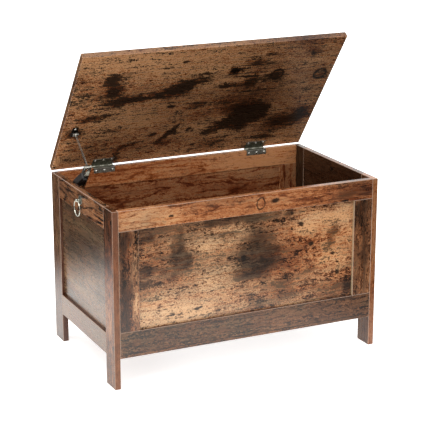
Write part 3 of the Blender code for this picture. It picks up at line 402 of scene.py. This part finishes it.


# Front and back frames
# Two rails and two stiles between the side frames, of the same board, with a thin infill in a groove.
# They are butted together, dowelled and glued. The fine pale lines where they meet are a painted
# highlight along each board's bevels.
RIGHT_STILE_EDGE = ((-1, 0, 0), CREAM_CORE, 0.6)
BACK_RAIL_INSIDE = ((0, -1, 0), "#a8541f", 0.35)
# The inside faces of the back, below its top rail, are darkened as painted shade inside the chest
SHADED_BACK_INSIDE = ((0, -1, 0), "#5c2208", 0.5)
print_on(
    "front_infill_panel", ALONG_X_ACROSS_Z, TAN_PRINT, ORANGE_PRINT, 21, warmth=0.4, tone_shift=0.06,
    stain=1.25, grain=1.1, mottle=1.5, ticks=0.3, smoke_rise=(0.3, 0.75),
    smoke=[(-279, 387, 20, 12, 15, 0.75), (-196, 372, 16, 34, 0, 0.5), (-196, 345, 22, 32, 0, 0.6),
           (-190, 322, 30, 28, 0, 0.45), (-174, 309, 12, 26, 0, 0.7), (-203, 296, 24, 16, 0, 0.5),
           (-283, 302, 24, 14, 0, 0.85), (-241, 294, 14, 12, 0, 0.5), (-296, 268, 20, 11, 0, 0.75),
           (-209, 273, 16, 8, 0, 0.55), (-292, 236, 40, 10, 5, 0.4), (-67, 366, 20, 14, 0, 0.75),
           (-40, 372, 24, 6, 0, 0.4), (-111, 407, 24, 12, 0, 0.65), (-20, 413, 60, 14, 0, 0.45),
           (30, 408, 70, 16, 0, 0.5), (118, 408, 10, 22, -15, 0.7), (28, 352, 46, 50, 0, 0.4),
           (38, 312, 50, 46, 0, 0.42), (5, 275, 56, 30, 0, 0.5), (-14, 298, 16, 20, 0, 0.6),
           (48, 275, 40, 18, -8, 0.45), (-5, 252, 34, 18, 0, 0.55), (60, 235, 60, 24, -10, 0.4),
           (-60, 395, 190, 26, 0, 0.3), (-240, 360, 60, 70, 0, 0.2), (-120, 330, 90, 60, 0, 0.15),
           (95, 200, 70, 24, 0, 0.3), (110, 175, 50, 18, 0, 0.35), (28, 178, 20, 18, 0, 0.35),
           (78, 308, 26, 14, 5, 0.55), (243, 322, 16, 34, -20, 0.95), (262, 346, 22, 12, 20, 0.5),
           (176, 238, 36, 10, 15, 0.6), (248, 180, 60, 20, 0, 0.6), (300, 180, 14, 14, 0, 0.9)],
    knots=[(-216, 178, 12, 11, 0, 0.55), (-148, 183, 18, 5, 5, 0.8), (-167, 161, 10, 4, 0, 0.7),
           (127, 404, 7, 7, 0, 0.8), (154, 371, 7, 7, 0, 1.0), (127, 360, 5, 4, 0, 0.8),
           (184, 313, 10, 7, 5, 1.0), (150, 328, 3, 8, 0, 0.7), (250, 278, 9, 5, 0, 1.0),
           (266, 252, 6, 4, 0, 0.9), (264, 223, 8, 8, 0, 0.9), (-14, 298, 9, 12, 0, 0.8),
           (-222, 245, 4, 3, 0, 0.9), (-50, 195, 4, 3, 0, 0.7), (46, 238, 8, 5, 0, 0.6)],
    pale=[(-200, 190, 170, 56, 0, 0.35), (-268, 241, 60, 14, 0, 0.2), (-89, 247, 80, 30, 0, 0.25),
          (172, 356, 34, 14, 0, 0.55), (212, 379, 50, 14, 0, 0.45), (281, 385, 26, 40, 0, 0.5),
          (-75, 385, 60, 12, 0, 0.35), (-125, 350, 40, 20, 0, 0.35), (-150, 175, 60, 16, 0, 0.35),
          (240, 290, 110, 110, 0, 0.35), (-100, 380, 260, 60, 0, -0.12), (30, 330, 60, 90, 0, -0.15)],
    hue=[(210, 300, 190, 120, 0, 0.8), (-270, 340, 60, 60, 0, 0.35), (30, 320, 70, 90, 0, -0.5)])
print_on("front_top_rail", ALONG_X_ACROSS_Z, TAN_PRINT, ORANGE_PRINT, 22, warmth=1.0, grain=0.55,
         mottle=0.4, ticks=0.3, line_depth=0.25, line_stretch=(3.0, 30.0, 30.0),
         smoke=[(330, 446, 60, 24, 0, 0.7), (276, 436, 36, 16, 0, 0.5), (-279, 437, 26, 16, 0, 0.35),
                (0, 440, 12, 14, 0, 0.5), (-60, 462, 120, 6, 0, 0.4), (-240, 440, 8, 26, 0, 0.35)],
         knots=[(-221, 441, 6, 4, 0, 1.0), (73, 446, 14, 7, 5, 0.9), (280, 420, 12, 4, 0, 0.9)],
         rings=[(31, 442, 12, 17, -8, 1.0)],
         pale=[(-290, 445, 90, 36, 0, 0.2), (-213, 440, 30, 22, 0, 0.25), (310, 445, 100, 40, 0, -0.22),
               (40, 445, 240, 50, 0, -0.05)],
         hue=[(-300, 440, 70, 40, 0, -0.5), (320, 440, 70, 40, 0, -0.4)])
print_on("front_bottom_rail", ALONG_X_ACROSS_Z, GREY_PRINT, BROWN_PRINT, 23, warmth=0.75, grain=1.3,
         mottle=0.6, ticks=0.3, line_depth=0.3, line_stretch=(3.0, 40.0, 40.0), tone_shift=-0.13,
         edge_faces=[SHADED_RECESS_FLOOR],
         knots=[(0, 91, 560, 1.3, 0, 0.9)], hue=[(0, 84, 420, 10, 0, 0.7), (240, 115, 200, 60, 0, 0.5)],
         pale=[(0, 84, 420, 8, 0, 0.2), (230, 110, 180, 40, 0, 0.08)])
print_on("front_left_stile", ALONG_Z_ACROSS_X, TAN_PRINT, ORANGE_PRINT, 24, warmth=0.5, tone_shift=-0.18,
         smoke=[(395, -348, 30, 18, 0, 1.0), (200, -344, 90, 16, 0, 1.0), (300, -354, 90, 7, 0, 0.7)],
         pale=[(223, -318, 36, 10, 0, 0.6), (333, -322, 50, 14, 0, 0.35)])
print_on("front_right_stile", ALONG_Z_ACROSS_X, BROWN_PRINT, ORANGE_PRINT, 25, warmth=0.15, ticks=0.4,
         tone_shift=0.12,
         smoke=[(374, 330, 30, 9, 0, 0.8), (272, 343, 90, 9, 0, 0.6), (395, 335, 16, 26, 0, 0.4)],
         edge_faces=[RIGHT_STILE_EDGE])
for seed, (piece, turn, light) in enumerate((
        ("top_rail", ALONG_X_ACROSS_Z, 0.03), ("bottom_rail", ALONG_X_ACROSS_Z, 0.0),
        ("left_stile", ALONG_Z_ACROSS_X, -0.05), ("right_stile", ALONG_Z_ACROSS_X, -0.05),
        ("infill_panel", ALONG_X_ACROSS_Z, -0.04)), start=31):
    print_on(f"back_{piece}", turn, BROWN_PRINT, ORANGE_PRINT, seed, tone_shift=light, warmth=1.1,
             ticks=0.6, lines=8.0, line_depth=0.5, line_stretch=(2.5, 24.0, 24.0), edge_pale=0.0,
             pale=[(230, 445, 150, 60, 0, 1.0)],
             edge_faces=[BACK_RAIL_INSIDE if piece == "top_rail" else SHADED_BACK_INSIDE])


# Bottom board
# A 12 mm board screwed in level with the bottom rails, with the same print on its upper face.
print_on("bottom_board", (0, 0, 0), DARK_PRINT, BROWN_PRINT, 41)


# Lid
# One 16 mm board across the whole top, printed on both faces and on its edges, grain across the chest.
LID_OPEN_DEG = 53.0
HINGE_AXIS = Vector((0.0, 0.215134, 0.4706))
lid_turn = Matrix.Rotation(math.radians(LID_OPEN_DEG), 3, "X")

# The front edge of the open lid faces up by 53 degrees
LID_FRONT_EDGE = ((0, -0.602, 0.799), "#2c1a11", 0.6)
LID_LEFT_END = ((-1, 0, 0), "#24150d", 0.6)
dress("lid", print_board(
    "lid", (LID_OPEN_DEG, 0, 0), -(lid_turn @ HINGE_AXIS), BROWN_PRINT, ORANGE_PRINT, 51, warmth=1.0,
    tone_shift=0.4, char=0.95, stain=1.7, grain=1.9, mottle=1.6, smoke_rise=(0.4, 0.68), ticks=0.5,
    edge_pale=0.2, gloss=0.65, edge_faces=[LID_LEFT_END, LID_FRONT_EDGE],
    smoke=[(-279, -347, 26, 26, 0, 1.2), (-262, -303, 26, 20, 0, 1.1), (-207, -265, 70, 15, -3, 1.3),
           (-95, -278, 50, 20, -6, 1.4), (-48, -309, 55, 22, -8, 1.4), (-290, -270, 90, 40, 0, 0.5),
           (-306, -202, 36, 16, 0, 1.1), (-260, -205, 30, 10, 0, 0.5), (-345, -145, 24, 16, 0, 1.0),
           (-225, -150, 26, 10, 0, 0.6), (-60, -110, 42, 11, -55, 1.3), (-66, -68, 22, 14, 0, 0.7),
           (-180, -72, 32, 6, -15, 1.0), (-202, -45, 8, 22, 0, 0.8), (-198, -20, 14, 10, 0, 1.0),
           (73, -339, 18, 16, 0, 1.2), (128, -369, 34, 16, 0, 0.6), (70, -285, 36, 12, 0, 0.8),
           (134, -291, 18, 30, 0, 0.8), (208, -312, 18, 22, 0, 0.7), (345, -300, 18, 22, 0, 0.7),
           (165, -165, 60, 38, 0, 1.3), (205, -160, 26, 34, 0, 1.1), (145, -122, 44, 32, 0, 1.2),
           (95, -124, 34, 18, 0, 1.1), (70, -100, 26, 16, 0, 0.9), (250, -47, 36, 14, 0, 1.0),
           (338, -155, 22, 14, 0, 0.8), (338, -122, 26, 24, 0, 1.2), (270, -110, 60, 40, 0, 0.7),
           (173, -399, 26, 8, 0, 0.6), (302, -386, 16, 20, 0, 0.6), (-6, -212, 24, 16, 0, 0.7),
           (20, -22, 12, 10, 0, 1.0), (85, -45, 50, 20, 0, 0.6), (180, -220, 220, 200, 0, 0.1),
           (150, -250, 70, 110, 0, 0.2), (110, -330, 60, 60, 0, 0.15)],
    knots=[(-81, -221, 14, 7, 0, 1.0), (-85, -393, 11, 6, 0, 1.0), (-3, -118, 9, 7, 0, 1.0),
           (-57, -155, 8, 4, 0, 0.9), (-109, -110, 13, 8, -10, 1.0), (27, -48, 8, 6, 0, 0.9),
           (-242, -82, 12, 6, -10, 0.6), (73, -339, 12, 12, 0, 0.9)],
    rings=[(208, -312, 24, 26, 0, 0.7), (345, -300, 24, 26, 0, 0.7)],
    pale=[(-180, -400, 240, 60, 0, 0.7), (-50, -411, 60, 40, 0, 0.2), (-180, -170, 180, 110, 0, 0.1),
          (150, -400, 160, 40, 0, 0.15), (300, -330, 70, 90, 0, 0.2)],
    hue=[(-60, -400, 120, 60, 0, 0.5), (-150, -150, 240, 120, 0, 0.6), (200, -250, 200, 220, 0, -0.6)]))


# Hinges
# Two wrap-over hinges of 0.9 mm steel, blanked, bent over the back rim and rolled into knuckles round a
# pin, then zinc-plated. Both leaves are let in. A painted highlight runs along the body leaf's bend and
# the lid leaf's free edge.
BODY_LEAF_BEND = (0.19603, 0.47045)
LID_LEAF_FREE_EDGE = (0.19804, 0.49353)
HIGHLIGHT_STEEL_COLOUR = "#f4f3ea"
HIGHLIGHT_HALF_WIDTH = 0.0008
HIGHLIGHT_FADE = 0.0016
CLOUDS_PER_M = 240.0
CLOUD_STEPS = (0.3, 0.7)


def plated_steel(name, dull, bright, smooth, coarse, highlight_lines=()):
    """Zinc plate, cloudy at 4 mm, with a painted highlight along lines parallel to X at (y, z) in metres.
    """
    material, tree, output = new_material(name)
    where = add_node(tree, "ShaderNodeTexCoord")
    spangle = add_node(tree, "ShaderNodeTexNoise", {
        "Vector": where.outputs["Object"], "Scale": CLOUDS_PER_M, "Detail": 3.0})
    plate = add_node(tree, "ShaderNodeValToRGB", {0: spangle})
    for step, place, colour in zip(plate.color_ramp.elements, CLOUD_STEPS, (dull, bright)):
        step.position = place
        step.color = linear(colour)
    flat = add_node(tree, "ShaderNodeVectorMath", {0: where.outputs["Object"], 1: (0, 1, 1)},
                    operation="MULTIPLY")
    # Each line gets a painted highlight
    for y, z in highlight_lines:
        painted_highlight = add_node(tree, "ShaderNodeVectorMath", {0: flat, 1: (0, y, z)}, operation="DISTANCE")
        painted_highlight = add_node(tree, "ShaderNodeMapRange", {
            "Value": painted_highlight.outputs["Value"], "From Min": HIGHLIGHT_HALF_WIDTH, "From Max": HIGHLIGHT_FADE,
            "To Min": 0.9, "To Max": 0.0})
        plate = add_node(tree, "ShaderNodeMix", {0: painted_highlight, 6: plate, 7: linear(HIGHLIGHT_STEEL_COLOUR)},
                         data_type="RGBA")
    texture = add_node(tree, "ShaderNodeMapRange", {"Value": spangle, "To Min": smooth, "To Max": coarse})
    pressed = add_node(tree, "ShaderNodeBump", {"Height": spangle, "Strength": 0.1, "Distance": 0.0002})
    steel = add_node(tree, "ShaderNodeBsdfPrincipled", {
        "Base Color": plate, "Metallic": 1.0, "Roughness": texture, "Normal": pressed})
    tree.links.new(steel.outputs[0], output.inputs[0])
    return material


# The leaves are one steel in two copies: the lid leaf's darker as painted shade under the lid, the body
# leaf's lighter as painted light on the rim
shaded_lid_leaf_steel = plated_steel("zinc-plated steel sheet, lid leaf, painted shade", "#5d5c51", "#908f83", 0.3, 0.45,
                              highlight_lines=[LID_LEAF_FREE_EDGE])
lit_body_leaf_steel = plated_steel("zinc-plated steel sheet, body leaf, painted light", "#9a988a", "#cfcdbf", 0.25, 0.4,
                               highlight_lines=[BODY_LEAF_BEND])
pin_steel = plated_steel("zinc-plated drawn steel", "#8d8c82", "#c9c8c0", 0.22, 0.36)
for side in ("left", "right"):
    dress(f"{side}_hinge_lid_leaf", shaded_lid_leaf_steel)
    dress(f"{side}_hinge_body_leaf", lit_body_leaf_steel)
    dress(f"{side}_hinge_pin", pin_steel)


# Lid stay
# A fork of bright steel strip in a black nylon damper housing turns on a post at the left side. A thin
# steel arm links it to a dark steel bracket under the lid, on riveted pins.
strip_steel = plated_steel("zinc-plated steel strip, bright", "#a3a299", "#dedcd2", 0.2, 0.34)
black_steel = plated_steel("dark steel sheet", "#1d1916", "#4a443d", 0.35, 0.5)
for node in ("stay_lower_arm", "stay_upper_arm", "stay_elbow_pin", "stay_lid_pin", "stay_base_post",
             "stay_base_plate"):
    dress(node, strip_steel)
dress("stay_lid_bracket", black_steel)

# The nylon takes a fine stipple from its mould, so it is matt and shows soft grey highlights
STIPPLE_PER_M = 600.0
NYLON_IOR = 1.53
black, tree, output = new_material("moulded nylon, black")
where = add_node(tree, "ShaderNodeTexCoord")
stipple = add_node(tree, "ShaderNodeTexNoise", {"Vector": where.outputs["Object"], "Scale": STIPPLE_PER_M})
shade = add_node(tree, "ShaderNodeMix", {0: stipple, 6: linear("#15120f"), 7: linear("#241d19")},
                 data_type="RGBA")
bump = add_node(tree, "ShaderNodeBump", {"Height": stipple, "Strength": 0.2, "Distance": 0.0003})
nylon = add_node(tree, "ShaderNodeBsdfPrincipled", {
    "Base Color": shade.outputs[2], "Roughness": 0.5, "Normal": bump, "IOR": NYLON_IOR})
tree.links.new(nylon.outputs[0], output.inputs[0])
dress("stay_damper_housing", black)


# Ring pulls
# A ring of 3 mm wire hangs in a turned eye post, on a pressed rose. A nut inside holds the post. All are
# zinc-plated, the ring polished by hands and the nut left dark.
ring_steel = plated_steel("zinc-plated steel wire, polished", "#a5a497", "#d5d4c6", 0.16, 0.28)
rose_steel = plated_steel("zinc-plated steel, pressed rose", "#7f7e74", "#bdbcb0", 0.24, 0.38)
for side in ("left", "right"):
    dress(f"{side}_handle_ring", ring_steel)
    dress(f"{side}_handle_eye_post", ring_steel)
    dress(f"{side}_handle_rose", rose_steel)
    dress(f"{side}_handle_nut", black_steel)


# Screws
# Sixteen pan-head wood screws of bright zinc-plated steel, with a cross recess: three in each leaf and
# two at each end of the stay. Each stops at its own turn.
HEAD_RADIUS = 0.0032
HEAD_HEIGHT = 0.0013
SHANK_RADIUS = 0.0014
SCREW_LENGTH = 0.0125
TIP_LENGTH = 0.003
TIP_SHARE = 0.12
CROSS_LENGTH = 0.0036
CROSS_WIDTH = 0.0008
CROSS_DEPTH = 0.0008
SHANK_OVERLAP = 0.0003
SHARP_FROM_DEG = 35
TURN_SEED = 4

screw_steel = plated_steel("zinc-plated screw steel, bright", "#c9c8be", "#f2f1e8", 0.16, 0.28)

screw_tree = bpy.data.node_groups.new("pan-head screws at points", "GeometryNodeTree")
screw_tree.interface.new_socket("Geometry", in_out="INPUT", socket_type="NodeSocketGeometry")
screw_sizes = {"Head radius": HEAD_RADIUS, "Head height": HEAD_HEIGHT, "Shank radius": SHANK_RADIUS,
               "Length": SCREW_LENGTH, "Tip length": TIP_LENGTH, "Cross length": CROSS_LENGTH,
               "Cross width": CROSS_WIDTH, "Cross depth": CROSS_DEPTH, "Overlap": SHANK_OVERLAP}
for name in screw_sizes:
    screw_tree.interface.new_socket(name, in_out="INPUT", socket_type="NodeSocketFloat")
screw_tree.interface.new_socket("Turn seed", in_out="INPUT", socket_type="NodeSocketInt")
screw_tree.interface.new_socket("Geometry", in_out="OUTPUT", socket_type="NodeSocketGeometry")
given = add_node(screw_tree, "NodeGroupInput").outputs
place = add_node(screw_tree, "GeometryNodeInputPosition")

# The head is the upper half of a ball, flattened
dome = add_node(screw_tree, "GeometryNodeMeshUVSphere", {"Segments": 24, "Rings": 12, "Radius": 1.0})
upper = add_node(screw_tree, "ShaderNodeVectorMath", {0: place, 1: (-1, -1, 0)}, operation="MAXIMUM")
size = add_node(screw_tree, "ShaderNodeCombineXYZ", {
    "X": given["Head radius"], "Y": given["Head radius"], "Z": given["Head height"]})
upper = add_node(screw_tree, "ShaderNodeVectorMath", {0: upper, 1: size}, operation="MULTIPLY")
head = add_node(screw_tree, "GeometryNodeSetPosition", {"Geometry": dome, "Position": upper})

# The shank is a rod that narrows to its tip
rod = add_node(screw_tree, "GeometryNodeMeshCylinder", {
    "Vertices": 16, "Side Segments": 12, "Radius": given["Shank radius"], "Depth": given["Length"]})
height = add_node(screw_tree, "ShaderNodeSeparateXYZ", {0: place})
height = add_node(screw_tree, "ShaderNodeMath", {0: given["Length"], 1: 0.5, 2: height.outputs["Z"]},
                  operation="MULTIPLY_ADD")
narrow = add_node(screw_tree, "ShaderNodeMapRange", {
    "Value": height, "From Max": given["Tip length"], "To Min": TIP_SHARE})
narrow = add_node(screw_tree, "ShaderNodeCombineXYZ", {"X": narrow, "Y": narrow, "Z": 1.0})
narrow = add_node(screw_tree, "ShaderNodeVectorMath", {0: place, 1: narrow}, operation="MULTIPLY")
lower = add_node(screw_tree, "ShaderNodeMath", {0: given["Length"], 1: -0.5, 2: given["Overlap"]},
                 operation="MULTIPLY_ADD")
lower = add_node(screw_tree, "ShaderNodeCombineXYZ", {"Z": lower})
shank = add_node(screw_tree, "GeometryNodeSetPosition", {
    "Geometry": rod, "Position": narrow, "Offset": lower})
blank = add_node(screw_tree, "GeometryNodeMeshBoolean", operation="UNION", solver="EXACT")
for solid in (head, shank):
    screw_tree.links.new(solid.outputs[0], blank.inputs["Mesh 2"])

# Two crossed slots are cut into the top of the head
slot_depth = add_node(screw_tree, "ShaderNodeMath", {0: given["Cross depth"], 1: 2.0},
                      operation="MULTIPLY")
head_top = add_node(screw_tree, "ShaderNodeCombineXYZ", {"Z": given["Head height"]})
cut = add_node(screw_tree, "GeometryNodeMeshBoolean", {"Mesh 1": blank, "Self Intersection": True},
               operation="DIFFERENCE", solver="EXACT")
for along, across in (("X", "Y"), ("Y", "X")):
    slot_size = add_node(screw_tree, "ShaderNodeCombineXYZ", {
        along: given["Cross length"], across: given["Cross width"], "Z": slot_depth})
    slot = add_node(screw_tree, "GeometryNodeMeshCube", {"Size": slot_size})
    slot = add_node(screw_tree, "GeometryNodeTransform", {"Geometry": slot, "Translation": head_top})
    screw_tree.links.new(slot.outputs[0], cut.inputs["Mesh 2"])

# A screw stands at each point, along the point's outward direction, at its own turn
outward = add_node(screw_tree, "GeometryNodeInputNamedAttribute", {"Name": "outward"},
                   data_type="FLOAT_VECTOR")
stand = add_node(screw_tree, "FunctionNodeAlignRotationToVector", {"Vector": outward}, axis="Z")
turn = add_node(screw_tree, "FunctionNodeRandomValue", {3: math.pi, 8: given["Turn seed"]},
                data_type="FLOAT")
turn = add_node(screw_tree, "ShaderNodeCombineXYZ", {"Z": turn})
stand = add_node(screw_tree, "FunctionNodeRotateRotation", {"Rotation": stand, "Rotate By": turn},
                 rotation_space="LOCAL")
rows = add_node(screw_tree, "GeometryNodeInstanceOnPoints", {
    "Points": given["Geometry"], "Instance": cut, "Rotation": stand})
rows = add_node(screw_tree, "GeometryNodeRealizeInstances", {"Geometry": rows})
rows = add_node(screw_tree, "GeometryNodeSetMaterial", {"Geometry": rows, "Material": screw_steel})
add_node(screw_tree, "NodeGroupOutput", {"Geometry": rows})


def seat_of(node, outward):
    """Where a screw's head sits: on its own axis, one head's height below its top."""
    points = [corner.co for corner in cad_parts[node].data.vertices]
    across = outward.orthogonal().normalized()
    seat = outward * (max(point.dot(outward) for point in points) - HEAD_HEIGHT)
    for direction in (across, outward.cross(across)):
        reach = [point.dot(direction) for point in points]
        seat += direction * (min(reach) + max(reach)) / 2
    return seat


def drive_screws(name, body, places):
    """Makes one mesh of all the screws on a body from (node, outward direction) pairs."""
    points = bpy.data.meshes.new(name)
    points.from_pydata([seat_of(node, outward) for node, outward in places], [], [])
    directions = points.attributes.new("outward", "FLOAT_VECTOR", "POINT")
    for item, (node, outward) in zip(directions.data, places):
        item.vector = outward
    carrier = bpy.data.objects.new(f"{name}_places", points)
    scene.collection.objects.link(carrier)
    modifier = carrier.modifiers.new("screws", "NODES")
    modifier.node_group = screw_tree
    for socket in screw_tree.interface.items_tree:
        if socket.in_out == "INPUT" and socket.name in screw_sizes:
            modifier[socket.identifier] = screw_sizes[socket.name]
        elif socket.name == "Turn seed":
            modifier[socket.identifier] = TURN_SEED
    evaluated = carrier.evaluated_get(bpy.context.evaluated_depsgraph_get())
    mesh = bpy.data.meshes.new_from_object(evaluated)
    mesh.name = name
    bpy.data.objects.remove(carrier)
    mesh.shade_smooth()
    mesh.set_sharp_from_angle(angle=math.radians(SHARP_FROM_DEG))
    screws = bpy.data.objects.new(name, mesh)
    scene.collection.objects.link(screws)
    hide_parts(*[node for node, outward in places])
    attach(screws, body)


TO_FRONT = Vector((0, -1, 0))
OUT_OF_LEFT_WALL = Vector((1, 0, 0))
BELOW_LID = lid_turn.transposed() @ Vector((0, 0, -1))
leaf_screws = [(side, number) for side in ("left", "right") for number in (1, 2, 3)]
drive_screws("carcass_screws", "carcass",
             [(f"{side}_hinge_body_screw_{number}", TO_FRONT) for side, number in leaf_screws]
             + [(f"stay_base_screw_{number}", OUT_OF_LEFT_WALL) for number in (1, 2)])
drive_screws("lid_screws", "lid",
             [(f"{side}_hinge_lid_screw_{number}", BELOW_LID) for side, number in leaf_screws]
             + [(f"stay_lid_screw_{number}", BELOW_LID) for number in (1, 2)])
